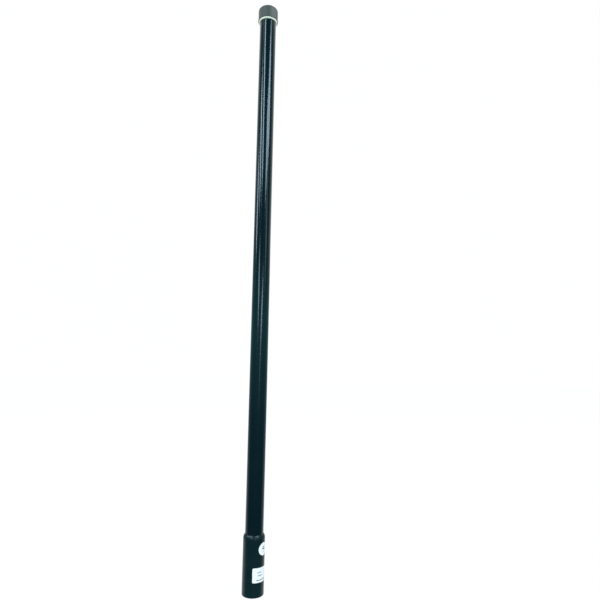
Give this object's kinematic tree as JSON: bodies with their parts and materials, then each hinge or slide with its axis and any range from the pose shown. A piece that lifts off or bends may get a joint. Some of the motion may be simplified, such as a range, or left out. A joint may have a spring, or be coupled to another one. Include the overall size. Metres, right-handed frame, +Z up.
{
  "type": "omnidirectional antenna",
  "caption": "Slim upright omnidirectional antenna: black fibreglass radome tube with a grey end cap and a metal base sleeve that holds a recessed type N jack.",
  "frame": {"origin": "centre of the base sleeve's bottom face", "axes": "+Z up along the radome tube towards the cap, -Y is the front, +X is the side that the stickers wrap towards"},
  "size_m": [0.0312, 0.0312, 0.86],
  "materials": {
    "black_metal": "satin black coated",
    "bare_aluminium": "satin machined",
    "black_fibreglass": "gloss",
    "grey_plastic": "satin",
    "pale_rubber": "satin",
    "sticker_vinyl": "satin",
    "nickel_plate": "polished nickel plate",
    "gold_plate": "polished gold plate",
    "ptfe": "satin",
    "black_rubber": "matte",
    "copper": "bright",
    "brass": "satin",
    "bare_fibreglass": "satin",
    "white_foam": "matte foam"
  },
  "bodies": {
    "root": {"base_sleeve": "black_metal", "cap_seal_ring": "pale_rubber", "centring_spacer_1": "white_foam", "centring_spacer_2": "white_foam", "centring_spacer_3": "white_foam", "centring_spacer_4": "white_foam", "centring_spacer_5": "white_foam", "choke_bead": "ptfe", "choke_sleeve": "brass", "coax_core": "copper", "coax_dielectric": "ptfe", "coax_shield": "copper", "coil_former_1": "bare_fibreglass", "coil_former_2": "bare_fibreglass", "connector_body": "nickel_plate", "connector_carrier": "bare_aluminium", "connector_centre_contact": "gold_plate", "connector_gasket": "black_rubber", "connector_insulator": "ptfe", "connector_lock_washer": "nickel_plate", "connector_nut": "nickel_plate", "lower_radiator": "brass", "middle_radiator": "brass", "phasing_coil_1": "copper", "phasing_coil_2": "copper", "radome_tube": "black_fibreglass", "rectangular_label": "sticker_vinyl", "round_sticker": "sticker_vinyl", "top_cap": "grey_plastic", "top_foam_plug": "white_foam", "upper_radiator": "brass"}
  },
  "joints": []
}
